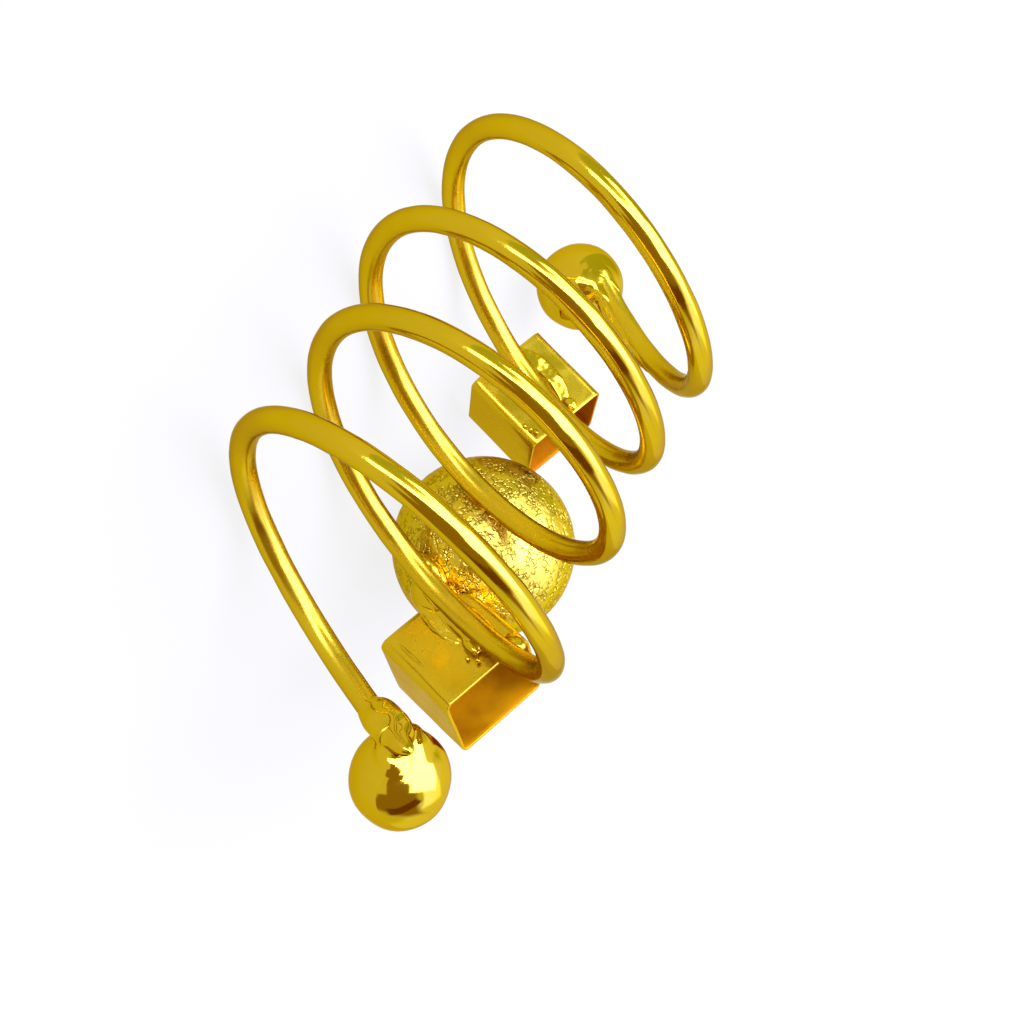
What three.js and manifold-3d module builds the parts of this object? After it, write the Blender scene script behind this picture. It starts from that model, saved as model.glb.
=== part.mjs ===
// A spiral finger ring: one long coil of round wire with a bead on each end, and three ornaments
// soldered to the outside of its turns. Millimetres, +Z up, lying as it rests on a table.
import * as THREE from "three";
import { mergeVertices } from "three/addons/utils/BufferGeometryUtils.js";
import Module from "manifold-3d";

const wasm = await Module();
wasm.setup();

// ---- the coil: round wire, with its axis along Z and the ornaments at -Y ----
const WIRE_RADIUS = 0.65;
const WIRE_SIDES = 12;
const STEPS_PER_TURN = 40;

// The coil is bent by hand, so each turn has its own size, place and lean. The rows are one turn apart from the
// near end: rise is along the axis, across and out place the turn's centre, and the leans tip it, in degrees.
const TURNS = [
  { radius: 8.5, rise: -12.1, across: -3.95, out: 1.7, leanAcross: 0.5, leanOut: 2 },
  { radius: 9.25, rise: -4.55, across: -2.45, out: -1.35, leanAcross: -4.5, leanOut: 3 },
  { radius: 9.15, rise: 0.9, across: -0.1, out: 0.6, leanAcross: -6, leanOut: 4 },
  { radius: 9.05, rise: 7.25, across: 2.35, out: -0.95, leanAcross: -0.5, leanOut: -2 },
  { radius: 9.75, rise: 14.3, across: 4.15, out: 0, leanAcross: 13.5, leanOut: -4.5 },
];
const START_ANGLE = -104.2;
const NEAR_END = -0.045;
const FAR_END = 4.085;

// ---- the beads on its ends, and the solder that holds them ----
const BEAD_SIDES = 24;
const NEAR_BEAD = { radius: 2.6, across: -0.8, out: 3.2, along: -0.6 };
const FAR_BEAD = { radius: 2.75, across: 1.15, out: 2.05, along: -0.5 };
const NEAR_LUMP = { length: 1.6, width: 1.3, height: 1.3, turn: -0.028, out: 0.9, slide: 0.3 };
const FAR_NECK = { length: 2.2, width: 0.85, height: 0.95, turn: 4.072, out: 0.3, slide: -0.15 };

// ---- the ornaments on the outside of the turns ----
const BALL = { radius: 5.45, out: 14.5, sides: 40 };
const CUBE_SHEET = { wall: 0.35, corner: 0.5, cornerSteps: 4 };
const CUBES = [
  { turn: 1.0054, slide: -1.22, roll: 1, length: 5.85, width: 5.9, height: 5 },
  { turn: 3.0667, slide: 0.25, roll: 0, length: 5.45, width: 5.55, height: 5.1 },
];
const FILLETS = [
  { turn: 1.005, length: 2.4, width: 1.25, height: 0.75, out: 0.3, slide: -0.5 },
  { turn: 1.055, length: 2, width: 1.15, height: 1.5, out: 1.55, slide: -0.4 },
  { turn: 1.07, length: 1.5, width: 0.9, height: 0.8, out: 0.35, slide: 0.3 },
  { turn: 2.045, length: 1.5, width: 0.9, height: 0.8, out: 0.35, slide: -0.3 },
  { turn: 3.069, length: 1.8, width: 1.15, height: 0.75, out: 0.3, slide: 0 },
];
const FILLET_SIDES = 16;
const SINK = 0.06;

// How the coil's frame is turned when the ring lies by itself, on its ball and two of its turns.
const REST_TURN = { x: 3.7, y: 71.77, z: 12.03 };

const radians = THREE.MathUtils.degToRad;
const AXIS = new THREE.Vector3(0, 0, 1);

// A column of the coil's table between two rows, on a Catmull-Rom curve that runs straight on past the ends.
function between(column, turn) {
  const last = TURNS.length - 1;
  const at = (i) => {
    if (i < 0) return 2 * TURNS[0][column] - TURNS[1][column];
    if (i > last) return 2 * TURNS[last][column] - TURNS[last - 1][column];
    return TURNS[i][column];
  };
  if (turn < 0) return at(0) + (at(1) - at(0)) * turn;
  if (turn > last) return at(last) + (at(last) - at(last - 1)) * (turn - last);
  const row = Math.min(Math.floor(turn), last - 1);
  const u = turn - row;
  const [a, b, c, d] = [at(row - 1), at(row), at(row + 1), at(row + 2)];
  const bend = 2 * a - 5 * b + 4 * c - d;
  const twist = 3 * b - a - 3 * c + d;
  return 0.5 * (2 * b + (c - a) * u + bend * u * u + twist * u * u * u);
}

// Which way is out from the coil at a turn, and where the wire's centre is there.
function outwardAt(turn) {
  const angle = radians(START_ANGLE + 360 * turn);
  return new THREE.Vector3(Math.cos(angle), Math.sin(angle), 0);
}

function wireAt(turn) {
  const outward = outwardAt(turn);
  const radius = between("radius", turn);
  const leanAcross = radians(between("leanAcross", turn));
  const leanOut = radians(between("leanOut", turn));
  return new THREE.Vector3(
    between("across", turn) + radius * outward.x,
    between("out", turn) + radius * outward.y,
    between("rise", turn) + radius * (leanAcross * outward.x + leanOut * outward.y),
  );
}

class CoilCurve extends THREE.Curve {
  getPoint(t, target = new THREE.Vector3()) {
    return target.copy(wireAt(NEAR_END + (FAR_END - NEAR_END) * t));
  }
}

// ---- solids, each a closed three.js geometry ----
function solid(geometry) {
  const bare = geometry.clone();
  bare.deleteAttribute("normal");
  bare.deleteAttribute("uv");
  const merged = mergeVertices(bare, 1e-4);
  return new wasm.Manifold(
    new wasm.Mesh({
      numProp: 3,
      vertProperties: merged.attributes.position.array,
      triVerts: new Uint32Array(merged.index.array),
    }),
  );
}

function coilWire() {
  const section = new THREE.Shape();
  section.absarc(0, 0, WIRE_RADIUS, 0, 2 * Math.PI);
  const geometry = new THREE.ExtrudeGeometry(section, {
    steps: Math.round((FAR_END - NEAR_END) * STEPS_PER_TURN),
    curveSegments: WIRE_SIDES / 2,
    extrudePath: new CoilCurve(),
  });
  return solid(geometry);
}

function ball(radius, centre, sides) {
  const geometry = new THREE.SphereGeometry(radius, sides, Math.round(sides * 0.6));
  geometry.translate(centre.x, centre.y, centre.z);
  return solid(geometry);
}

function endBead(bead, turn) {
  const offset = new THREE.Vector3(bead.across, -bead.out, bead.along);
  return ball(bead.radius, wireAt(turn).add(offset), BEAD_SIDES);
}

// A drop of solder: a ball stretched along the wire at one turn, set a little outward and aside.
function solder({ turn, length, width, height, out, slide }) {
  const outward = outwardAt(turn);
  const along = AXIS.clone().cross(outward);
  const centre = wireAt(turn).addScaledVector(outward, out).addScaledVector(AXIS, slide);
  const geometry = new THREE.SphereGeometry(1, FILLET_SIDES, FILLET_SIDES / 2);
  geometry.scale(length, height, width);
  geometry.applyMatrix4(new THREE.Matrix4().makeBasis(along, outward, AXIS.clone().negate()));
  geometry.translate(centre.x, centre.y, centre.z);
  return solid(geometry);
}

function roundedRectangle(path, width, height, corner) {
  const x = width / 2 - corner;
  const y = height / 2 - corner;
  path.absarc(x, y, corner, 0, Math.PI / 2);
  path.absarc(-x, y, corner, Math.PI / 2, Math.PI);
  path.absarc(-x, -y, corner, Math.PI, 1.5 * Math.PI);
  path.absarc(x, -y, corner, 1.5 * Math.PI, 2 * Math.PI);
  path.closePath();
  return path;
}

// An open cube: a short square tube of bent sheet that lies along the wire, its inner face against it.
function openCube({ turn, slide, roll, length, width, height }) {
  const { wall, corner, cornerSteps } = CUBE_SHEET;
  const outline = roundedRectangle(new THREE.Shape(), width, height, corner);
  outline.holes.push(roundedRectangle(new THREE.Path(), width - 2 * wall, height - 2 * wall, corner - wall));
  const geometry = new THREE.ExtrudeGeometry(outline, {
    depth: length,
    bevelEnabled: false,
    curveSegments: cornerSteps,
  });
  geometry.translate(0, height / 2, -length / 2);
  geometry.rotateZ(radians(roll));
  const outward = outwardAt(turn);
  const along = AXIS.clone().cross(outward);
  geometry.applyMatrix4(new THREE.Matrix4().makeBasis(AXIS, outward, along));
  const seat = wireAt(turn).addScaledVector(outward, WIRE_RADIUS - SINK).addScaledVector(AXIS, slide);
  geometry.translate(seat.x, seat.y, seat.z);
  return solid(geometry);
}

// ---- the ring: everything is soldered, so it is one solid ----
const pieces = [
  coilWire(),
  endBead(NEAR_BEAD, NEAR_END),
  endBead(FAR_BEAD, FAR_END),
  solder(NEAR_LUMP),
  solder(FAR_NECK),
  ball(BALL.radius, new THREE.Vector3(0, -BALL.out, 0), BALL.sides),
  ...CUBES.map(openCube),
  ...FILLETS.map(solder),
];
const soldered = pieces.reduce((whole, piece) => whole.add(piece)).getMesh();
const geometry = new THREE.BufferGeometry();
geometry.setAttribute("position", new THREE.BufferAttribute(soldered.vertProperties, 3));
geometry.setIndex(new THREE.BufferAttribute(soldered.triVerts, 1));
geometry.computeVertexNormals();

const gold = new THREE.MeshStandardMaterial({ color: 0xd9a520, metalness: 1, roughness: 0.18 });
const spiralRing = new THREE.Mesh(geometry, gold);
spiralRing.name = "spiral_ring";

const coilFrame = new THREE.Group();
coilFrame.rotation.set(radians(REST_TURN.x), radians(REST_TURN.y), radians(REST_TURN.z));
coilFrame.add(spiralRing);

// The ring stands on the table with its box centred on the origin.
const box = new THREE.Box3().setFromObject(coilFrame, true);
const middle = box.getCenter(new THREE.Vector3());
coilFrame.position.set(-middle.x, -middle.y, -box.min.z);

const ring = new THREE.Group();
ring.name = "ring_at_rest";
ring.add(coilFrame);
export default ring;
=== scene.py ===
"""The looks of a spiral finger ring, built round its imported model: polished gold wire, beads and open cubes,
and a frosted ball, lying on a pale table in soft studio light. Lengths in the tables are in millimetres."""

import math

import bmesh
import bpy
from bpy.props import FloatProperty, FloatVectorProperty, IntProperty, PointerProperty
from mathutils import Euler, Matrix, Vector, noise


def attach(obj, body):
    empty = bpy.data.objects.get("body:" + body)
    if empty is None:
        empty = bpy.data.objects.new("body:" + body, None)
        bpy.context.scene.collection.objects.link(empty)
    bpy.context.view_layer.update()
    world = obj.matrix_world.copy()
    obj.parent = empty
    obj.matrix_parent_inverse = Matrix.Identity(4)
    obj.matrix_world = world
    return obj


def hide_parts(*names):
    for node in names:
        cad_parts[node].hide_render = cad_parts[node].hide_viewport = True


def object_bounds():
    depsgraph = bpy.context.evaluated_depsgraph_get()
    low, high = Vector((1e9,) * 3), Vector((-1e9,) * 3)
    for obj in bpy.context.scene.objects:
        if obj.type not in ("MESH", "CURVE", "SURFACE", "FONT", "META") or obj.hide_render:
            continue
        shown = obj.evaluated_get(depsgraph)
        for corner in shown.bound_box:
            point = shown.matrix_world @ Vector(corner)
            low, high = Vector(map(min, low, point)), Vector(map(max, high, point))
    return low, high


bl_info = {
    "name": "Spiral Ring",
    "version": (1, 0, 0),
    "blender": (4, 5, 0),
    "location": "3D View > Sidebar > Spiral Ring",
    "description": "Builds a spiral finger ring with end beads, a frosted ball and open cubes",
    "category": "Object",
}

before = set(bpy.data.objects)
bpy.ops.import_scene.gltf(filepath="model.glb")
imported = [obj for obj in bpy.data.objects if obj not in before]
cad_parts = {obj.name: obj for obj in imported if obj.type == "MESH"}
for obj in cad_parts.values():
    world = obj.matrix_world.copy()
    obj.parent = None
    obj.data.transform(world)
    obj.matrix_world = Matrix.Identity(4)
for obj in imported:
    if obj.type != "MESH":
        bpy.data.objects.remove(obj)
CAD_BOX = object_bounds()
RING_NODE = "spiral_ring"
MM = 0.001

# ---- the coil, in its own frame: its axis is Z and its ornaments are at -Y ----
# One row for each turn from the near end: rise is along the axis, across and out place the turn's centre,
# and the leans tip it, in degrees.
TURNS = [
    {"radius": 8.5, "rise": -12.1, "across": -3.95, "out": 1.7, "lean_across": 0.5, "lean_out": 2},
    {"radius": 9.25, "rise": -4.55, "across": -2.45, "out": -1.35, "lean_across": -4.5, "lean_out": 3},
    {"radius": 9.15, "rise": 0.9, "across": -0.1, "out": 0.6, "lean_across": -6, "lean_out": 4},
    {"radius": 9.05, "rise": 7.25, "across": 2.35, "out": -0.95, "lean_across": -0.5, "lean_out": -2},
    {"radius": 9.75, "rise": 14.3, "across": 4.15, "out": 0, "lean_across": 13.5, "lean_out": -4.5},
]
START_ANGLE = -104.2
NEAR_END = -0.045
FAR_END = 4.085
WIRE_RADIUS = 0.65
AXIS = Vector((0, 0, 1))
INNER_SIDE = "inner_side"

# ---- what is soldered to it ----
NEAR_BEAD = {"radius": 2.6, "across": -0.8, "out": 3.2, "along": -0.6, "crumple": 0.7}
FAR_BEAD = {"radius": 2.75, "across": 1.15, "out": 2.05, "along": -0.5, "crumple": 0.3}
BALL_RADIUS = 5.45
BALL_CENTRE = Vector((0, -14.5, 0))
# Each cube's inside names the colour painted inside it, a painted reflection that stands in for light bounced
# between its gold walls.
CUBES = {
    "lower_cube": {
        "turn": 1.0054, "slide": -1.22, "roll": 1, "length": 5.85, "width": 5.9, "height": 5,
        "inside": "lower_inside_painted_reflection",
    },
    "upper_cube": {
        "turn": 3.0667, "slide": 0.25, "roll": 0, "length": 5.45, "width": 5.55, "height": 5.1,
        "inside": "upper_inside_painted_reflection",
    },
}
# How deep the cubes are let into the wire.
SINK = 0.06

# Drops of solder on the wire, each a ball stretched along it at one turn and set outward and aside of it.
# One that leans lies along the wire where it climbs; the rest lie square to the coil.
WIRE_DROPS = {
    "near_end_bead": [
        {"turn": -0.034, "length": 2.3, "width": 0.7, "height": 0.7, "out": 0, "slide": 0},
        {"turn": -0.026, "length": 1.7, "width": 0.74, "height": 0.74, "out": 0, "slide": 0.5},
        {"turn": -0.008, "length": 2.2, "width": 0.66, "height": 0.66, "out": 0, "slide": 0.1},
    ],
    "far_end_bead": [
        {"turn": 4.074, "length": 1.6, "width": 0.63, "height": 0.66, "out": 0, "slide": 0},
        {"turn": 4.062, "length": 1.6, "width": 0.5, "height": 0.55, "out": -0.05, "slide": -0.45},
    ],
    "lower_cube_solder": [
        {"turn": 1.026, "length": 2.3, "width": 1.1, "height": 0.2, "out": 0.53, "slide": -0.55},
        {"turn": 1.005, "length": 2.8, "width": 0.9, "height": 0.42, "out": 0.28, "slide": 0},
        {"turn": 0.986, "length": 0.7, "width": 0.3, "height": 0.35, "out": 0.4, "slide": -0.85},
        {"turn": 0.957, "length": 0.4, "width": 0.4, "height": 0.35, "out": 0.15, "slide": 0.9},
        {"turn": 0.948, "length": 0.8, "width": 0.5, "height": 0.4, "out": 0.1, "slide": 0.8},
    ],
    "ball_solder": [
        {"turn": 1.05, "length": 1.7, "width": 0.95, "height": 1.4, "out": 1.3, "slide": -0.3},
        {"turn": 1.07, "length": 1.5, "width": 0.9, "height": 0.8, "out": 0.35, "slide": 0.3},
        {"turn": 2.045, "length": 1.5, "width": 0.72, "height": 0.62, "out": 0.35, "slide": -0.02},
    ],
    "upper_cube_solder": [
        {"turn": 3.072, "length": 2.4, "width": 1.2, "height": 0.24, "out": 0.48, "slide": 0.75},
        {"turn": 3.069, "length": 2.4, "width": 0.9, "height": 0.42, "out": 0.28, "slide": 0},
        {"turn": 3.03, "length": 0.5, "width": 0.4, "height": 0.3, "out": 0.5, "slide": 1.15},
    ],
    "far_end_solder": [
        {"turn": 4.045, "length": 2.6, "width": 0.5, "height": 0.5, "out": 0, "slide": -0.5, "leans": True},
        {"turn": 4.02, "length": 2.6, "width": 0.45, "height": 0.45, "out": 0, "slide": -0.5, "leans": True},
        {"turn": 3.985, "length": 2, "width": 0.4, "height": 0.4, "out": 0, "slide": -0.42, "leans": True},
    ],
}
# Specks and a thin ridge of solder that ran on the cubes' sheet, placed in the same way.
SPECKS = [
    {"turn": 3.043, "length": 0.16, "width": 0.13, "height": 0.12, "out": 0.57, "slide": -1.9},
    {"turn": 3.036, "length": 0.13, "width": 0.16, "height": 0.12, "out": 0.57, "slide": -1.75},
    {"turn": 3.031, "length": 0.2, "width": 0.12, "height": 0.12, "out": 0.57, "slide": -1.6},
    {"turn": 1.0168, "length": 1.25, "width": 0.11, "height": 0.09, "out": 0.58, "slide": -3.42},
    {"turn": 0.972, "length": 0.16, "width": 0.14, "height": 0.12, "out": 0.57, "slide": -1.1},
    {"turn": 0.981, "length": 0.13, "width": 0.11, "height": 0.1, "out": 0.57, "slide": -1.4},
]
# Beads of solder heaped on each end bead, placed from its centre.
HEAPED_DROPS = {
    "near_end_bead": [
        {"at": (0.46, 1.68, 0.99), "radius": 1.2},
        {"at": (-0.15, 1.9, 0.76), "radius": 0.8},
        {"at": (0.58, 2.33, 0.12), "radius": 0.62},
        {"at": (0.04, 2.3, -0.08), "radius": 0.62},
    ],
    "far_end_bead": [
        {"at": (-0.96, 1.27, -0.37), "radius": 1.3},
        {"at": (-1.37, 2.12, -0.02), "radius": 0.35},
    ],
}

SOLDER_PIECES = ("lower_cube_solder", "ball_solder", "upper_cube_solder", "far_end_solder")

# Dents and folds: how wide and how deep they are. The solder on the end beads is kneaded from its own seeds.
SOLDER_DENTS = ({"width": 0.8, "depth": 0.05}, {"width": 0.3, "depth": 0.015})
SPECK_DENT = {"width": 0.2, "depth": 0.03}
BEAD_FOLDS = ({"width": 0.9, "depth": 0.12, "seed": 0}, {"width": 0.45, "depth": 0.045, "seed": 7})
# The folds reach their full depth where the solder stands this proud of the bead.
FOLD_HEIGHT = 0.25
# How many times smaller the wire's fine dents are than its soft ones.
FINE_DENTS = 3
# How wide the waves in the cubes' sheet are, and how far its rims are worn round.
CUBE_WAVE_WIDTH = 2.6
CUBE_RIM = 0.035
# How often a melted skin is smoothed.
BEAD_SMOOTHING = 1
SOLDER_SMOOTHING = 14

# The gold on each kind of piece: its roughness, the width of its patches of deeper colour, and how deep its
# scuffs and pits are.
FINISHES = {
    "wire_gold": {"roughness": 0.11, "patch": 4, "scuff": 0.0012, "pit": 0.001},
    "bead_gold": {"roughness": 0.08, "patch": 2.5, "scuff": 0.0006, "pit": 0.0006},
    "frosted_gold": {"roughness": 0.26, "patch": 3, "scuff": 0.001, "pit": 0.0008},
    "sheet_gold": {"roughness": 0.24, "patch": 4, "scuff": 0.0003, "pit": 0.0003},
    "inside_of_lower_cube": {"roughness": 0.65, "patch": 9, "scuff": 0.001, "pit": 0.001},
    "inside_of_upper_cube": {"roughness": 0.65, "patch": 9, "scuff": 0.001, "pit": 0.001},
    "solder_gold": {"roughness": 0.16, "patch": 1.2, "scuff": 0.0015, "pit": 0.001},
}
SCUFF_WIDTH = 0.35
PIT_WIDTH = 0.12
LACQUER_ROUGHNESS = 0.04
# How far the roughness drifts down and up.
ROUGHNESS_DRIFT = (0.7, 1.4)
# How much rougher the wire is on the side that faces into the coil.
WIRE_SATIN = 0.15
CREVICE_DEPTH = 0.034
# How dark a patch of deeper gold is against the gold round it, and how dark the painted shade in a crevice is
# against the grain's gold.
PATCH_TONE = 0.93
CREVICE_PAINTED_SHADE = 0.58

# How the coil's frame is turned when the ring lies on its ball and two of its turns.
REST_TURN = (3.7, 71.77, 12.03)


def between(column, turn):
    """A column of the coil's table between rows, on a Catmull-Rom curve that runs straight past the ends."""
    last = len(TURNS) - 1

    def at(row):
        if row < 0:
            return 2 * TURNS[0][column] - TURNS[1][column]
        if row > last:
            return 2 * TURNS[last][column] - TURNS[last - 1][column]
        return TURNS[row][column]

    if turn < 0:
        return at(0) + (at(1) - at(0)) * turn
    if turn > last:
        return at(last) + (at(last) - at(last - 1)) * (turn - last)
    row = min(math.floor(turn), last - 1)
    u = turn - row
    a, b, c, d = at(row - 1), at(row), at(row + 1), at(row + 2)
    bend = 2 * a - 5 * b + 4 * c - d
    twist = 3 * b - a - 3 * c + d
    return 0.5 * (2 * b + (c - a) * u + bend * u * u + twist * u * u * u)


def outward_at(turn):
    angle = math.radians(START_ANGLE + 360 * turn)
    return Vector((math.cos(angle), math.sin(angle), 0))


def wire_at(turn):
    """The centre of the wire at a turn."""
    outward = outward_at(turn)
    radius = between("radius", turn)
    lean_across = math.radians(between("lean_across", turn))
    lean_out = math.radians(between("lean_out", turn))
    return Vector((
        between("across", turn) + radius * outward.x,
        between("out", turn) + radius * outward.y,
        between("rise", turn) + radius * (lean_across * outward.x + lean_out * outward.y),
    ))


def bead_centre(bead, turn):
    return wire_at(turn) + Vector((bead["across"], -bead["out"], bead["along"]))


def axes(x, y, z, origin):
    """A matrix whose columns are three directions and a place."""
    matrix = Matrix((x, y, z)).transposed().to_4x4()
    matrix.translation = origin
    return matrix


def station(turn):
    """The wire's place and heading at a turn: Z runs along it and X points out of the coil."""
    step = 1e-4
    heading = (wire_at(turn + step) - wire_at(turn - step)).normalized()
    side = heading.cross(outward_at(turn)).normalized()
    return axes(side.cross(heading), side, heading, wire_at(turn))


def seat(turn, out, slide):
    """A place beside the wire: X along the coil's axis, Y outward and Z along the wire."""
    outward = outward_at(turn)
    return axes(AXIS, outward, AXIS.cross(outward), wire_at(turn) + out * outward + slide * AXIS)


def coil_to_row():
    """From the coil's frame to the row's: turned as it rests, with the ball on the table and against the
    box's -Y side, and the near bead against its -X side."""
    turn = Euler([math.radians(angle) for angle in REST_TURN], "ZYX").to_matrix()
    ball = turn @ BALL_CENTRE
    bead = turn @ bead_centre(NEAR_BEAD, NEAR_END)
    low = CAD_BOX[0] / MM
    origin = Vector((
        low.x + NEAR_BEAD["radius"] - bead.x,
        low.y + BALL_RADIUS - ball.y,
        low.z + BALL_RADIUS - ball.z,
    ))
    return Matrix.Scale(MM, 4) @ Matrix.Translation(origin) @ turn.to_4x4()


COIL_TO_ROW = coil_to_row()


# ---- what a user would change ----
class RingWireSettings(bpy.types.PropertyGroup):
    sides: IntProperty(name="Sides", description="Sides of the wire's round section", default=44, min=8)
    steps_per_turn: IntProperty(
        name="Steps per turn", description="Sections in one turn", default=120, min=24
    )
    dent_depth: FloatProperty(
        name="Dent depth", description="How deep the wire's soft dents are", default=0.000018, precision=6,
        unit="LENGTH",
    )
    dent_width: FloatProperty(
        name="Dent width", description="How wide the wire's soft dents are", default=0.0016, precision=5,
        unit="LENGTH",
    )


class RingBeadSettings(bpy.types.PropertyGroup):
    dent_depth: FloatProperty(
        name="Dent depth", description="How deep the dents in the end beads are", default=0.00005,
        precision=6, unit="LENGTH",
    )
    dent_width: FloatProperty(
        name="Dent width", description="How wide the dents in the end beads are", default=0.0016,
        precision=5, unit="LENGTH",
    )
    voxel: FloatProperty(
        name="Voxel", description="Grid on which bead and solder are melted into one", default=0.00007,
        precision=6, unit="LENGTH",
    )
    fillet: FloatProperty(
        name="Fillet", description="How far the solder runs smooth between bead and wire", default=0.0004,
        precision=5, unit="LENGTH",
    )


class RingBallSettings(bpy.types.PropertyGroup):
    grain: FloatProperty(
        name="Grain", description="Width of a grain of the frosted ball", default=0.0003, precision=6,
        unit="LENGTH",
    )
    relief: FloatProperty(
        name="Relief", description="Depth of the crevices between grains", default=0.000014, precision=6,
        unit="LENGTH",
    )
    cuts: IntProperty(
        name="Cuts", description="Cuts across each of the ball's six faces", default=125, min=8
    )


class RingCubeSettings(bpy.types.PropertyGroup):
    wall: FloatProperty(
        name="Wall", description="Thickness of the cubes' sheet", default=0.00017, precision=5,
        unit="LENGTH",
    )
    corner: FloatProperty(
        name="Corner", description="Radius of the cubes' bends", default=0.0005, precision=5,
        unit="LENGTH",
    )
    dent_depth: FloatProperty(
        name="Dent depth", description="How far the cubes' sheet waves", default=0.00003, precision=6,
        unit="LENGTH",
    )


class RingGoldSettings(bpy.types.PropertyGroup):
    colour: FloatVectorProperty(
        name="Gold", description="Colour of the plating", default=(0.58, 0.39, 0.0085), subtype="COLOR",
        size=3, min=0, max=1,
    )
    deep_colour: FloatVectorProperty(
        name="Deep gold", description="Colour where the plating is thicker", default=(0.55, 0.355, 0.0065),
        subtype="COLOR", size=3, min=0, max=1,
    )
    edge_colour: FloatVectorProperty(
        name="Edge colour", description="Tint of the gold seen nearly edge on", default=(0.78, 0.62, 0.26),
        subtype="COLOR", size=3, min=0, max=1,
    )
    wire_edge_colour: FloatVectorProperty(
        name="Wire edge colour", description="Tint of the wire's gold seen nearly edge on",
        subtype="COLOR", size=3, default=(0.58, 0.46, 0.14), min=0, max=1,
    )
    frosted_colour: FloatVectorProperty(
        name="Frosted gold", description="Colour of the frosted ball's grains", subtype="COLOR", size=3,
        default=(0.6, 0.42, 0.015), min=0, max=1,
    )
    # The two inside colours are painted reflection: their deep orange stands in for light bounced many times
    # between the cubes' gold walls, and is not the gold's own colour.
    lower_inside_painted_reflection: FloatVectorProperty(
        name="Inner gold", description="Colour of the unpolished gold inside the lower cube",
        subtype="COLOR", size=3, default=(0.63, 0.31, 0.001), min=0, max=1,
    )
    upper_inside_painted_reflection: FloatVectorProperty(
        name="Deep inner gold", description="Colour of the unpolished gold inside the upper cube",
        subtype="COLOR", size=3, default=(0.52, 0.18, 0.001), min=0, max=1,
    )
    lacquer: FloatProperty(
        name="Lacquer", description="How much clear lacquer lies on the gold", default=0.03, min=0, max=1
    )


class RingStageSettings(bpy.types.PropertyGroup):
    azimuth: FloatProperty(
        name="Azimuth", description="Where the camera stands round the ring", subtype="ANGLE",
        default=math.radians(123.765), unit="ROTATION",
    )
    elevation: FloatProperty(
        name="Elevation", description="How far the camera is above the table", subtype="ANGLE",
        default=math.radians(29.004), unit="ROTATION",
    )
    roll: FloatProperty(
        name="Roll", description="How far the camera's top is turned to the right", subtype="ANGLE",
        default=math.radians(-106.18), unit="ROTATION",
    )
    distance: FloatProperty(
        name="Distance", description="From the camera to the aim", default=0.074855, precision=5,
        unit="LENGTH",
    )
    aim: FloatVectorProperty(
        name="Aim", description="Where the camera looks, from the middle of the ring's box", size=3,
        default=(0.0007, 0.00019, 0.00042), precision=5, subtype="XYZ", unit="LENGTH",
    )
    lens: FloatProperty(name="Lens", description="Focal length in millimetres", default=49.207)
    shift: FloatVectorProperty(
        name="Shift", description="How far the lens is shifted across and up", size=2,
        default=(-0.01384, -0.06513), precision=4,
    )
    floor_colour: FloatVectorProperty(
        name="Floor", description="Colour of the table", default=(0.048, 0.0436, 0.0088),
        subtype="COLOR", size=3, min=0, max=1,
    )
    floor_glow: FloatProperty(
        name="Floor glow", description="How much light comes up through the table", default=0.84, min=0
    )


# ---- materials ----
def new_node(tree, kind, **settings):
    node = tree.nodes.new(kind)
    for name, value in settings.items():
        setattr(node, name, value)
    return node


def noise_node(tree, width, detail=2.0):
    """Noise on the piece's own coordinates, whose patches are about as wide as the width given in mm."""
    place = new_node(tree, "ShaderNodeTexCoord")
    pattern = new_node(tree, "ShaderNodeTexNoise")
    pattern.inputs["Scale"].default_value = 1 / (width * MM)
    pattern.inputs["Detail"].default_value = detail
    tree.links.new(place.outputs["Object"], pattern.inputs["Vector"])
    return pattern


def ranged(tree, socket, low, high, start=0.3, end=0.7):
    """A value from low to high as the socket's goes from start to end."""
    node = new_node(tree, "ShaderNodeMapRange")
    node.inputs["From Min"].default_value = start
    node.inputs["From Max"].default_value = end
    node.inputs["To Min"].default_value = low
    node.inputs["To Max"].default_value = high
    tree.links.new(socket, node.inputs["Value"])
    return node.outputs["Result"]


def bump(tree, height, depth, under=None):
    """A bump of a depth in mm, laid over another bump where one is given."""
    node = new_node(tree, "ShaderNodeBump")
    node.inputs["Distance"].default_value = depth * MM
    tree.links.new(height, node.inputs["Height"])
    if under:
        tree.links.new(under, node.inputs["Normal"])
    return node.outputs["Normal"]


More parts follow.
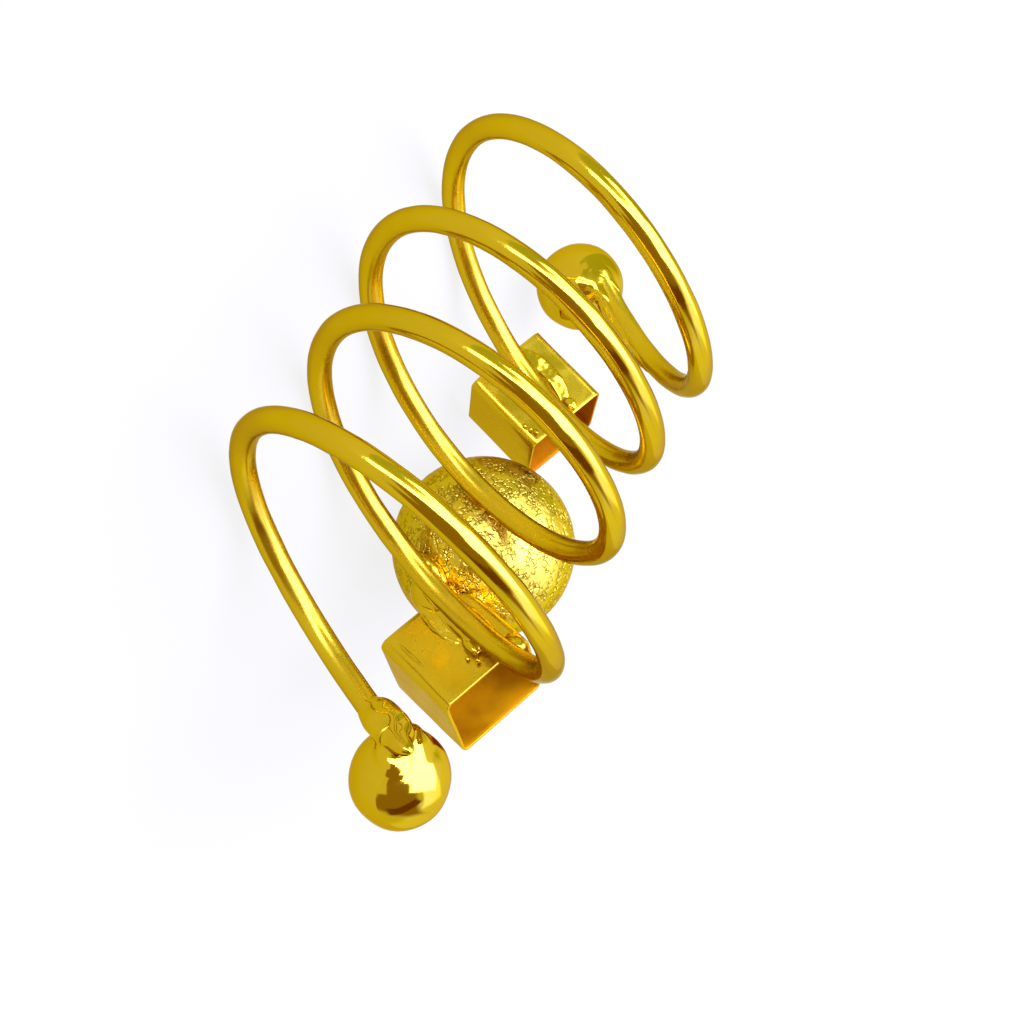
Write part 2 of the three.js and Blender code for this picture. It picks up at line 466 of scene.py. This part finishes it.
def gold_material(name, tones=None, edge=None, satin=0):
    """Gold plating under thin lacquer, in the finish of that name: patches of deeper colour, a roughness
    that drifts, scuffs and pits. Satin makes it rougher where it faces into the coil."""
    finish = FINISHES[name]
    gold = bpy.context.scene.ring_gold
    light_tone, deep_tone = tones or (gold.colour, gold.deep_colour)
    material = bpy.data.materials.new(name)
    material.use_nodes = True
    tree = material.node_tree
    shader = tree.nodes["Principled BSDF"]
    shader.inputs["Metallic"].default_value = 1
    shader.inputs["Specular Tint"].default_value = (*(edge or gold.edge_colour), 1)
    shader.inputs["Coat Weight"].default_value = gold.lacquer
    shader.inputs["Coat Roughness"].default_value = LACQUER_ROUGHNESS

    patches = noise_node(tree, finish["patch"])
    colour = new_node(tree, "ShaderNodeMix", data_type="RGBA")
    colour.inputs["A"].default_value = (*light_tone, 1)
    colour.inputs["B"].default_value = (*deep_tone, 1)
    tree.links.new(ranged(tree, patches.outputs["Fac"], 0, 1), colour.inputs["Factor"])
    tree.links.new(colour.outputs["Result"], shader.inputs["Base Color"])

    drift = noise_node(tree, finish["patch"] / 3, detail=4)
    low, high = [finish["roughness"] * share for share in ROUGHNESS_DRIFT]
    rough = ranged(tree, drift.outputs["Fac"], low, high)
    if satin:
        inner = new_node(tree, "ShaderNodeAttribute", attribute_name=INNER_SIDE)
        added = new_node(tree, "ShaderNodeMath", operation="ADD")
        tree.links.new(rough, added.inputs[0])
        facing_in = ranged(tree, inner.outputs["Fac"], 0, satin, start=0.35, end=0.75)
        tree.links.new(facing_in, added.inputs[1])
        rough = added.outputs["Value"]
    tree.links.new(rough, shader.inputs["Roughness"])

    scuffs = noise_node(tree, SCUFF_WIDTH, detail=4)
    pits = noise_node(tree, PIT_WIDTH, detail=1)
    pitted = ranged(tree, pits.outputs["Fac"], 1, 0, start=0.68, end=0.74)
    scuffed = bump(tree, scuffs.outputs["Fac"], finish["scuff"])
    tree.links.new(bump(tree, pitted, finish["pit"], under=scuffed), shader.inputs["Normal"])
    return material


def grain_material(name, grain):
    """Frosted gold: bright grains of a width in mm, parted by crooked crevices that come and go; the crevices
    are bumped in and darkened with painted shade.
    """
    tone = Vector(bpy.context.scene.ring_gold.frosted_colour)
    material = gold_material(name, tones=(tone, tone * PATCH_TONE))
    tree = material.node_tree
    shader = tree.nodes["Principled BSDF"]
    shader.inputs["Coat Weight"].default_value = 0
    place = new_node(tree, "ShaderNodeTexCoord")
    warp = noise_node(tree, 1.3 * grain, detail=1)
    moved = new_node(tree, "ShaderNodeVectorMath", operation="MULTIPLY_ADD")
    moved.inputs[1].default_value = (grain * MM, grain * MM, grain * MM)
    tree.links.new(warp.outputs["Color"], moved.inputs[0])
    tree.links.new(place.outputs["Object"], moved.inputs[2])
    cells = new_node(tree, "ShaderNodeTexVoronoi", feature="DISTANCE_TO_EDGE")
    cells.inputs["Scale"].default_value = 1 / (grain * MM)
    tree.links.new(moved.outputs["Vector"], cells.inputs["Vector"])
    gaps = noise_node(tree, 2 * grain, detail=1)
    closed = ranged(tree, gaps.outputs["Fac"], 0, 1, start=0.45, end=0.55)
    open_top = ranged(tree, cells.outputs["Distance"], 0, 1, start=0.02, end=0.14)
    top = new_node(tree, "ShaderNodeMath", operation="MAXIMUM")
    tree.links.new(closed, top.inputs[0])
    tree.links.new(open_top, top.inputs[1])

    colour = shader.inputs["Base Color"].links[0].from_socket
    # The crevices are darkened with painted shade: their colour is the grain's gold times a fixed share.
    shaded = new_node(tree, "ShaderNodeMix", data_type="RGBA")
    shaded.inputs["A"].default_value = (*(tone * CREVICE_PAINTED_SHADE), 1)
    tree.links.new(colour, shaded.inputs["B"])
    tree.links.new(top.outputs["Value"], shaded.inputs["Factor"])
    tree.links.new(shaded.outputs["Result"], shader.inputs["Base Color"])
    under = shader.inputs["Normal"].links[0].from_socket
    grained = bump(tree, top.outputs["Value"], CREVICE_DEPTH, under=under)
    tree.links.new(grained, shader.inputs["Normal"])
    return material


def floor_material():
    stage = bpy.context.scene.ring_stage
    material = bpy.data.materials.new("pale_table")
    material.use_nodes = True
    shader = material.node_tree.nodes["Principled BSDF"]
    shader.inputs["Base Color"].default_value = (*stage.floor_colour, 1)
    shader.inputs["Roughness"].default_value = 0.9
    shader.inputs["Specular IOR Level"].default_value = 0.1
    shader.inputs["Emission Color"].default_value = (1, 1, 1, 1)
    shader.inputs["Emission Strength"].default_value = stage.floor_glow
    return material


# ---- tools that the pieces share ----
def add_piece(name, bm, *materials):
    """Makes the ring's piece from a bmesh in the coil's frame: lays it where the ring rests, and lets it
    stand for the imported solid."""
    bmesh.ops.transform(bm, matrix=COIL_TO_ROW, verts=bm.verts)
    mesh = bpy.data.meshes.new(name)
    bm.to_mesh(mesh)
    bm.free()
    mesh.shade_smooth()
    for material in materials:
        mesh.materials.append(material)
    piece = bpy.data.objects.new(name, mesh)
    bpy.context.scene.collection.objects.link(piece)
    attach(piece, "root")
    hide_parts(RING_NODE)


def dent(bm, width, depth, seed):
    """Moves each vertex along its normal by smooth noise with hollows of that width and depth."""
    bm.normal_update()
    offset = Vector((seed, 2 * seed, 3 * seed))
    for vert in bm.verts:
        vert.co += vert.normal * depth * noise.noise(vert.co / width + offset)


def drop_frame(drop):
    """The frame in which a drop on the wire is a unit ball."""
    place = seat(drop["turn"], drop["out"], drop["slide"])
    if drop.get("leans"):
        _, side, heading, centre = (column.xyz for column in station(drop["turn"]).col)
        outward = side.cross(heading)
        place = axes(-side, outward, heading, centre + drop["out"] * outward - drop["slide"] * side)
    return place @ Matrix.Diagonal((drop["width"], drop["height"], drop["length"], 1))


def add_drop(bm, drop):
    bmesh.ops.create_icosphere(bm, subdivisions=4, radius=1, matrix=drop_frame(drop))


def melt(bm, voxel, smoothing):
    """Melts overlapping balls into one skin, rounds off its creases, and returns a new bmesh."""
    mesh = bpy.data.meshes.new("melt")
    bm.to_mesh(mesh)
    bm.free()
    lump = bpy.data.objects.new("melt", mesh)
    bpy.context.scene.collection.objects.link(lump)
    remesh = lump.modifiers.new("Remesh", "REMESH")
    remesh.mode = "VOXEL"
    remesh.voxel_size = voxel
    smooth = lump.modifiers.new("Smooth", "SMOOTH")
    smooth.factor = 0.5
    smooth.iterations = smoothing
    melted = bmesh.new()
    melted.from_object(lump, bpy.context.evaluated_depsgraph_get())
    bpy.data.objects.remove(lump)
    bpy.data.meshes.remove(mesh)
    return melted


def ball_gap(place, ball):
    return (place - ball["at"]).length - ball["radius"]


def drop_gap(place, drop):
    """About how far a place is from a drop's stretched ball, a unit ball in the drop's own frame."""
    near = drop["into"] @ place
    reach = near.length
    steep = Vector((near.x / drop["width"], near.y / drop["height"], near.z / drop["length"])).length
    return reach * (reach - 1) / max(steep, 1e-6)


def skin_gap(place, balls, drops, fillet):
    """About how far a place is from the skin of the balls and drops, which run together in that fillet."""
    gap = 10
    ball_gaps = [ball_gap(place, ball) for ball in balls]
    drop_gaps = [drop_gap(place, drop) for drop in drops]
    for other in ball_gaps + drop_gaps:
        share = max(fillet - abs(gap - other), 0) / fillet
        gap = min(gap, other) - share * share * fillet / 4
    return gap


def run_together(bm, balls, drops, fillet):
    """Moves each vertex of a rough skin the shortest way onto the smooth one."""
    step = 0.002
    near_enough = 0.0003
    most_moves = 8
    for vert in bm.verts:
        for _ in range(most_moves):
            gap = skin_gap(vert.co, balls, drops, fillet)
            if abs(gap) < near_enough:
                break
            beside = [vert.co + step * side for side in Matrix.Identity(3)]
            slope = Vector([skin_gap(place, balls, drops, fillet) - gap for place in beside])
            vert.co -= gap * slope.normalized()


# ---- pieces ----
def coil_wire(bm, wire):
    """Sweeps the wire's round section from one end of the coil to the other."""
    steps = round((FAR_END - NEAR_END) * wire.steps_per_turn)
    stations = [station(NEAR_END + (FAR_END - NEAR_END) * step / steps) for step in range(steps + 1)]
    inner = bm.verts.layers.float.new(INNER_SIDE)
    made = bmesh.ops.create_circle(bm, segments=wire.sides, radius=WIRE_RADIUS, matrix=stations[0])
    for vert in made["verts"]:
        outward = stations[0].col[0].xyz
        vert[inner] = 0.5 - 0.5 * outward.dot(vert.co - stations[0].translation) / WIRE_RADIUS
    edges = list({edge for vert in made["verts"] for edge in vert.link_edges})
    for before, after in zip(stations, stations[1:]):
        made = bmesh.ops.extrude_edge_only(bm, edges=edges)["geom"]
        ring = {item for item in made if isinstance(item, bmesh.types.BMVert)}
        edges = [item for item in made if isinstance(item, bmesh.types.BMEdge) and set(item.verts) <= ring]
        bmesh.ops.transform(bm, matrix=after @ before.inverted(), verts=list(ring))
    side = 2 * WIRE_RADIUS * math.sin(math.pi / wire.sides)
    lengthwise = [edge for edge in bm.edges if edge.calc_length() > 2 * side]
    bmesh.ops.subdivide_edges(bm, edges=lengthwise, cuts=1, use_grid_fill=True)
    bmesh.ops.holes_fill(bm, edges=bm.edges)
    bmesh.ops.recalc_face_normals(bm, faces=bm.faces)


class RING_OT_coil_wire(bpy.types.Operator):
    """Winds the wire: a little over four turns, with the soft dents of hand bending"""

    bl_idname = "ring.coil_wire"
    bl_label = "Coil Wire"

    def execute(self, context):
        wire = context.scene.ring_wire
        bm = bmesh.new()
        coil_wire(bm, wire)
        dent(bm, wire.dent_width / MM, wire.dent_depth / MM, seed=3)
        dent(bm, wire.dent_width / MM / FINE_DENTS, wire.dent_depth / MM / FINE_DENTS, seed=5)
        edge = context.scene.ring_gold.wire_edge_colour
        add_piece("coil_wire", bm, gold_material("wire_gold", edge=edge, satin=WIRE_SATIN))
        return {"FINISHED"}


def knead(bm, centre, radius, width, depth, seed):
    """Works dents into whatever stands proud of a ball, and leaves the ball itself smooth."""
    bm.normal_update()
    offset = Vector((seed, 2 * seed, 3 * seed))
    for vert in bm.verts:
        proud = ((vert.co - centre).length - radius) / FOLD_HEIGHT
        share = min(max(proud, 0), 1)
        vert.co += vert.normal * depth * share * noise.noise(vert.co / width + offset)


class RING_OT_end_beads(bpy.types.Operator):
    """Makes the polished bead at each end of the wire, melted into the lumpy solder that holds it"""

    bl_idname = "ring.end_beads"
    bl_label = "End Beads"

    def execute(self, context):
        beads = context.scene.ring_beads
        ends = {"near_end_bead": (NEAR_BEAD, NEAR_END), "far_end_bead": (FAR_BEAD, FAR_END)}
        material = gold_material("bead_gold")
        for seed, (name, (bead, turn)) in enumerate(ends.items()):
            bm = bmesh.new()
            centre = bead_centre(bead, turn)
            balls = [{"at": centre, "radius": bead["radius"]}]
            for heaped in HEAPED_DROPS[name]:
                balls.append({"at": centre + Vector(heaped["at"]), "radius": heaped["radius"]})
            for ball in balls:
                place = Matrix.Translation(ball["at"])
                bmesh.ops.create_icosphere(bm, subdivisions=4, radius=ball["radius"], matrix=place)
            drops = [{**drop, "into": drop_frame(drop).inverted()} for drop in WIRE_DROPS[name]]
            for drop in drops:
                add_drop(bm, drop)
            bm = melt(bm, beads.voxel / MM, BEAD_SMOOTHING)
            run_together(bm, balls, drops, beads.fillet / MM)
            dent(bm, beads.dent_width / MM, beads.dent_depth / MM, seed)
            for fold in BEAD_FOLDS:
                depth = fold["depth"] * bead["crumple"]
                knead(bm, centre, bead["radius"], fold["width"], depth, seed + fold["seed"])
            add_piece(name, bm, material)
        return {"FINISHED"}


def grain_height(place, grain):
    """The frosting's height at a place: grains have tilted tops, and a crevice parts each from the next."""
    cell_spread = 7
    steepness = 2.5
    distances, points = noise.voronoi(place / grain)
    tilt = noise.cell_vector(points[0] * cell_spread) - Vector((0.5, 0.5, 0.5))
    crevice = min((distances[1] - distances[0]) * steepness, 1)
    return crevice + tilt.dot(place / grain - points[0])


class RING_OT_frosted_ball(bpy.types.Operator):
    """Makes the large ball and works the frosting's grains into its skin"""

    bl_idname = "ring.frosted_ball"
    bl_label = "Frosted Ball"

    def execute(self, context):
        ball = context.scene.ring_ball
        bm = bmesh.new()
        bmesh.ops.create_cube(bm, size=2)
        bmesh.ops.subdivide_edges(bm, edges=bm.edges, cuts=ball.cuts, use_grid_fill=True)
        for vert in bm.verts:
            spread = Vector([math.tan(side * math.pi / 4) for side in vert.co])
            vert.co = spread.normalized() * BALL_RADIUS
        bm.normal_update()
        for vert in bm.verts:
            height = grain_height(vert.co, ball.grain / MM)
            vert.co += vert.normal * (height - 1) * ball.relief / MM
        bmesh.ops.translate(bm, verts=bm.verts, vec=BALL_CENTRE)
        add_piece("frosted_ball", bm, grain_material("frosted_gold", ball.grain / MM))
        return {"FINISHED"}


def open_cube(bm, cube, sheet):
    """A square tube of bent sheet on the wire: corners rounded, walls a little wavy, rims worn."""
    bmesh.ops.create_cube(bm, size=1)
    bmesh.ops.scale(bm, verts=bm.verts, vec=(cube["width"], cube["height"], cube["length"]))
    ends = [face for face in bm.faces if abs(face.normal.z) > 0.9]
    bmesh.ops.delete(bm, geom=ends, context="FACES_ONLY")
    corners = [edge for edge in bm.edges if not edge.is_boundary]
    bmesh.ops.bevel(
        bm, geom=corners, offset=sheet.corner / MM, offset_type="OFFSET", segments=6, profile=0.5,
        affect="EDGES", material=-1,
    )
    flats = [edge for edge in bm.edges if edge.is_boundary and edge.calc_length() > 1]
    bmesh.ops.subdivide_edges(bm, edges=flats, cuts=16, use_grid_fill=True)
    length_edges = [edge for edge in bm.edges if abs((edge.verts[0].co - edge.verts[1].co).z) > 1]
    bmesh.ops.subdivide_edges(bm, edges=length_edges, cuts=20, use_grid_fill=True)
    dent(bm, CUBE_WAVE_WIDTH, sheet.dent_depth / MM, seed=round(cube["turn"]))
    bmesh.ops.recalc_face_normals(bm, faces=bm.faces)
    bmesh.ops.solidify(bm, geom=bm.faces, thickness=sheet.wall / MM)
    rims = [edge for edge in bm.edges if edge.is_manifold and edge.calc_face_angle() > 1]
    bmesh.ops.bevel(
        bm, geom=rims, offset=CUBE_RIM, offset_type="OFFSET", segments=2, profile=0.5,
        affect="EDGES", material=-1,
    )
    # Faces that face into the tube take the second material, whose orange is painted reflection.
    for face in bm.faces:
        faces_in = face.normal.xy.dot(face.calc_center_median().xy) < -0.1
        face.material_index = int(faces_in)
    lift = Matrix.Translation((0, cube["height"] / 2, 0))
    roll = Matrix.Rotation(math.radians(cube["roll"]), 4, "Z")
    place = seat(cube["turn"], WIRE_RADIUS - SINK, cube["slide"])
    bmesh.ops.transform(bm, matrix=place @ roll @ lift, verts=bm.verts)


class RING_OT_open_cubes(bpy.types.Operator):
    """Bends the two open cubes from sheet and seats them on the outside of the wire"""

    bl_idname = "ring.open_cubes"
    bl_label = "Open Cubes"

    def execute(self, context):
        outside = gold_material("sheet_gold")
        for name, cube in CUBES.items():
            # Each inside material is painted reflection: its orange base and edge tint stand in for light
            # bounced between the walls; only its roughness is the sheet's own.
            tone = getattr(context.scene.ring_gold, cube["inside"])
            inside = gold_material("inside_of_" + name, tones=(tone, tone * PATCH_TONE), edge=tone)
            bm = bmesh.new()
            open_cube(bm, cube, context.scene.ring_cubes)
            add_piece(name, bm, outside, inside)
        return {"FINISHED"}


class RING_OT_solder(bpy.types.Operator):
    """Melts the solder along the wire, and under the ball and the cubes, and adds the specks that ran off"""

    bl_idname = "ring.solder"
    bl_label = "Solder"

    def execute(self, context):
        material = gold_material("solder_gold")
        voxel = context.scene.ring_beads.voxel / MM
        for seed, name in enumerate(SOLDER_PIECES):
            bm = bmesh.new()
            for drop in WIRE_DROPS[name]:
                add_drop(bm, drop)
            bm = melt(bm, voxel, SOLDER_SMOOTHING)
            for size in SOLDER_DENTS:
                dent(bm, size["width"], size["depth"], seed)
            add_piece(name, bm, material)
        bm = bmesh.new()
        for speck in SPECKS:
            add_drop(bm, speck)
        dent(bm, SPECK_DENT["width"], SPECK_DENT["depth"], seed=2)
        add_piece("solder_specks", bm, material)
        return {"FINISHED"}


# ---- the stage ----
# Soft-edged areas of the room, laid over each other in this order. Angles are in degrees, seen from the
# ring: where the middle is, how far it reaches across and up, and how it is rolled. A colour of 1 is as
# bright as the backdrop.
ROOM = [
    {"azimuth": -80, "elevation": 35, "reach": (52, 40), "roll": 0, "colour": (1.28, 1.36, 5)},
    {"azimuth": -20, "elevation": 74, "reach": (40, 24), "roll": 0, "colour": (2, 2.3, 14)},
    {"azimuth": 158, "elevation": 31, "reach": (46, 38), "roll": -12, "colour": (0.42, 0.28, 0.12)},
    {"azimuth": -163, "elevation": 36, "reach": (8, 30), "roll": 0, "colour": (0.22, 0.08, 0.02)},
    {"azimuth": 134, "elevation": -3, "reach": (20, 11), "roll": 12, "colour": (1, 1, 1.2)},
    {"azimuth": 34, "elevation": 12, "reach": (52, 14), "roll": 0, "colour": (0.68, 0.78, 0.45)},
    {"azimuth": 82, "elevation": 50, "reach": (16, 14), "roll": 0, "colour": (1.6, 2, 8)},
    {"azimuth": 104, "elevation": 22, "reach": (34, 9), "roll": -78, "colour": (8, 9, 50)},
    {"azimuth": 42, "elevation": 66, "reach": (30, 24), "roll": 0, "colour": (9, 10, 52)},
    {"azimuth": 42, "elevation": 32, "reach": (13, 11), "roll": 0, "colour": (7, 8, 40)},
]
ROOM_COLOUR = (0.95, 1, 1.1)
BACKDROP_COLOUR = (1, 1, 1)
# The table: half its width and how far off its near edge runs, in metres, and on which side of the ring.
TABLE_SIZE = 1.5
TABLE_EDGE = 0.075
TABLE_AZIMUTH = 172
# The share of an area's reach over which it fades out.
EDGE_SOFTNESS = 0.12


def aim_rotation(azimuth, elevation, roll=0):
    """Turns the X axis to look at an azimuth and an elevation, in degrees."""
    turn = Matrix.Rotation(math.radians(azimuth), 3, "Z")
    lift = Matrix.Rotation(-math.radians(elevation), 3, "Y")
    return turn @ lift @ Matrix.Rotation(math.radians(roll), 3, "X")


def room_area(tree, direction, under, area):
    """Lays one soft-edged area of the room over the colour under it, and returns the new colour."""
    turned = new_node(tree, "ShaderNodeMapping", vector_type="POINT")
    facing = aim_rotation(area["azimuth"], area["elevation"], area["roll"]).inverted()
    turned.inputs["Rotation"].default_value = facing.to_euler("XYZ")
    tree.links.new(direction, turned.inputs["Vector"])
    parts = new_node(tree, "ShaderNodeSeparateXYZ")
    tree.links.new(turned.outputs["Vector"], parts.inputs["Vector"])
    across, up = (math.sin(math.radians(angle)) for angle in area["reach"])
    away = new_node(tree, "ShaderNodeMath", operation="MAXIMUM")
    for side, (axis, reach) in enumerate((("Y", across), ("Z", up))):
        share = new_node(tree, "ShaderNodeMath", operation="DIVIDE")
        share.inputs[1].default_value = reach
        tree.links.new(parts.outputs[axis], share.inputs[0])
        apart = new_node(tree, "ShaderNodeMath", operation="ABSOLUTE")
        tree.links.new(share.outputs["Value"], apart.inputs[0])
        tree.links.new(apart.outputs["Value"], away.inputs[side])
    inside = new_node(tree, "ShaderNodeMapRange", interpolation_type="SMOOTHSTEP")
    inside.inputs["From Min"].default_value = 1 + EDGE_SOFTNESS
    inside.inputs["From Max"].default_value = 1 - EDGE_SOFTNESS
    tree.links.new(away.outputs["Value"], inside.inputs["Value"])
    ahead = new_node(tree, "ShaderNodeMath", operation="GREATER_THAN")
    ahead.inputs[1].default_value = 0
    tree.links.new(parts.outputs["X"], ahead.inputs[0])
    share = new_node(tree, "ShaderNodeMath", operation="MULTIPLY")
    tree.links.new(inside.outputs["Result"], share.inputs[0])
    tree.links.new(ahead.outputs["Value"], share.inputs[1])
    mixed = new_node(tree, "ShaderNodeMix", data_type="RGBA")
    mixed.inputs["B"].default_value = (*area["colour"], 1)
    tree.links.new(under, mixed.inputs["A"])
    tree.links.new(share.outputs["Value"], mixed.inputs["Factor"])
    return mixed.outputs["Result"]


def room():
    """The soft studio round the ring, as the world: plain to the camera, and lit from these areas."""
    world = bpy.data.worlds.new("soft_studio")
    bpy.context.scene.world = world
    world.use_nodes = True
    tree = world.node_tree
    tree.nodes.clear()
    place = new_node(tree, "ShaderNodeTexCoord")
    base = new_node(tree, "ShaderNodeRGB")
    base.outputs["Color"].default_value = (*ROOM_COLOUR, 1)
    colour = base.outputs["Color"]
    for area in ROOM:
        colour = room_area(tree, place.outputs["Generated"], colour, area)
    seen = new_node(tree, "ShaderNodeLightPath")
    shown = new_node(tree, "ShaderNodeMix", data_type="RGBA")
    shown.inputs["B"].default_value = (*BACKDROP_COLOUR, 1)
    tree.links.new(seen.outputs["Is Camera Ray"], shown.inputs["Factor"])
    tree.links.new(colour, shown.inputs["A"])
    glow = new_node(tree, "ShaderNodeBackground")
    tree.links.new(shown.outputs["Result"], glow.inputs["Color"])
    output = new_node(tree, "ShaderNodeOutputWorld")
    tree.links.new(glow.outputs["Background"], output.inputs["Surface"])


def floor():
    """The table, whose near edge runs a little way in front of the ring."""
    bm = bmesh.new()
    bmesh.ops.create_grid(bm, x_segments=1, y_segments=1, size=TABLE_SIZE)
    bmesh.ops.translate(bm, verts=bm.verts, vec=(TABLE_EDGE - TABLE_SIZE, 0, CAD_BOX[0].z))
    turn = Matrix.Rotation(math.radians(TABLE_AZIMUTH), 3, "Z")
    bmesh.ops.rotate(bm, verts=bm.verts, matrix=turn)
    mesh = bpy.data.meshes.new("table_top")
    bm.to_mesh(mesh)
    bm.free()
    mesh.materials.append(floor_material())
    table = bpy.data.objects.new("table_top", mesh)
    bpy.context.scene.collection.objects.link(table)


def camera(stage):
    """The camera: level at its azimuth and elevation, then rolled."""
    data = bpy.data.cameras.new("camera")
    data.lens = stage.lens
    data.sensor_width = 36
    data.shift_x, data.shift_y = stage.shift
    data.clip_start = 0.005
    data.clip_end = 10
    back = aim_rotation(math.degrees(stage.azimuth), math.degrees(stage.elevation)) @ Vector((1, 0, 0))
    level_right = Vector((0, 0, 1)).cross(back).normalized()
    level_up = back.cross(level_right)
    up = level_up * math.cos(stage.roll) + level_right * math.sin(stage.roll)
    target = (CAD_BOX[0] + CAD_BOX[1]) / 2 + Vector(stage.aim)
    eye = bpy.data.objects.new("camera", data)
    eye.matrix_world = axes(up.cross(back), up, back, target + back * stage.distance)
    bpy.context.scene.collection.objects.link(eye)
    bpy.context.scene.camera = eye


class RING_OT_stage(bpy.types.Operator):
    """Sets up the pale table, the soft studio and the camera"""

    bl_idname = "ring.stage"
    bl_label = "Stage"

    def execute(self, context):
        context.scene.view_settings.view_transform = "Standard"
        room()
        floor()
        camera(context.scene.ring_stage)
        return {"FINISHED"}


# ---- the add-on ----
GROUPS = {
    "ring_wire": RingWireSettings,
    "ring_beads": RingBeadSettings,
    "ring_ball": RingBallSettings,
    "ring_cubes": RingCubeSettings,
    "ring_gold": RingGoldSettings,
    "ring_stage": RingStageSettings,
}
OPERATORS = (
    RING_OT_coil_wire,
    RING_OT_end_beads,
    RING_OT_frosted_ball,
    RING_OT_open_cubes,
    RING_OT_solder,
    RING_OT_stage,
)


class RING_PT_panel(bpy.types.Panel):
    """Lists the ring's settings and the operators that build its pieces"""

    bl_idname = "RING_PT_panel"
    bl_label = "Spiral Ring"
    bl_space_type = "VIEW_3D"
    bl_region_type = "UI"
    bl_category = "Spiral Ring"

    def draw(self, context):
        for group, settings in GROUPS.items():
            box = self.layout.box()
            box.label(text=group.replace("_", " ").capitalize())
            for name in settings.__annotations__:
                box.prop(getattr(context.scene, group), name)
        for operator in OPERATORS:
            self.layout.operator(operator.bl_idname)


CLASSES = (*GROUPS.values(), *OPERATORS, RING_PT_panel)


def register():
    for item in CLASSES:
        bpy.utils.register_class(item)
    for group, settings in GROUPS.items():
        setattr(bpy.types.Scene, group, PointerProperty(type=settings))


def unregister():
    for group in GROUPS:
        delattr(bpy.types.Scene, group)
    for item in reversed(CLASSES):
        bpy.utils.unregister_class(item)


def main():
    register()
    bpy.ops.ring.stage()
    bpy.ops.ring.coil_wire()
    bpy.ops.ring.end_beads()
    bpy.ops.ring.frosted_ball()
    bpy.ops.ring.open_cubes()
    bpy.ops.ring.solder()


if __name__ == "__main__":
    main()
